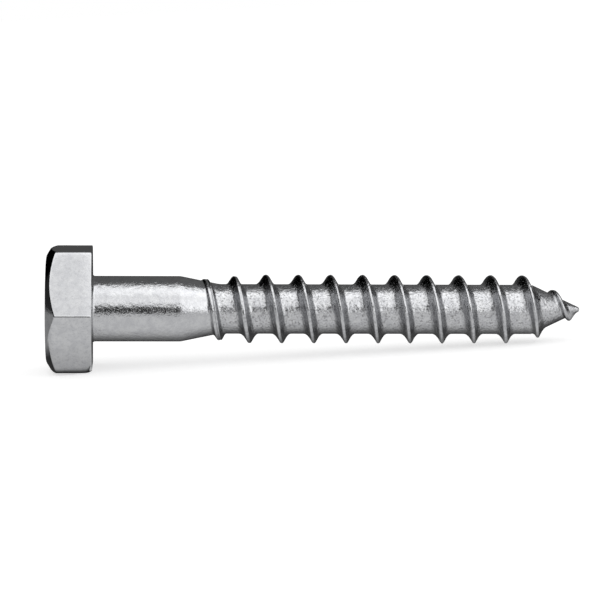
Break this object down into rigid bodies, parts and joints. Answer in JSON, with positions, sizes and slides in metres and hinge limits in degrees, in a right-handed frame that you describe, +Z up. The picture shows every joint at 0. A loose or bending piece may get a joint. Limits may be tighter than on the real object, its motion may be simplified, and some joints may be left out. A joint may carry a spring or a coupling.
{
  "type": "lag screw",
  "caption": "Hexagon-head wood screw with a plain shank, a coarse helical thread and a sharp conical point.",
  "frame": {"origin": "On the surface that the screw lies on, under the middle of its bounding box.", "axes": "+X runs from the head towards the point, level; the screw's own axis drops below it by its resting tilt of about 3.5 degrees. +Z is up, away from the surface. +Y is level and across."},
  "size_m": [0.0748, 0.0194, 0.0171],
  "materials": {
    "zinc_plated_steel": "satin"
  },
  "bodies": {
    "root": {"lag_screw": "zinc_plated_steel"}
  },
  "joints": []
}
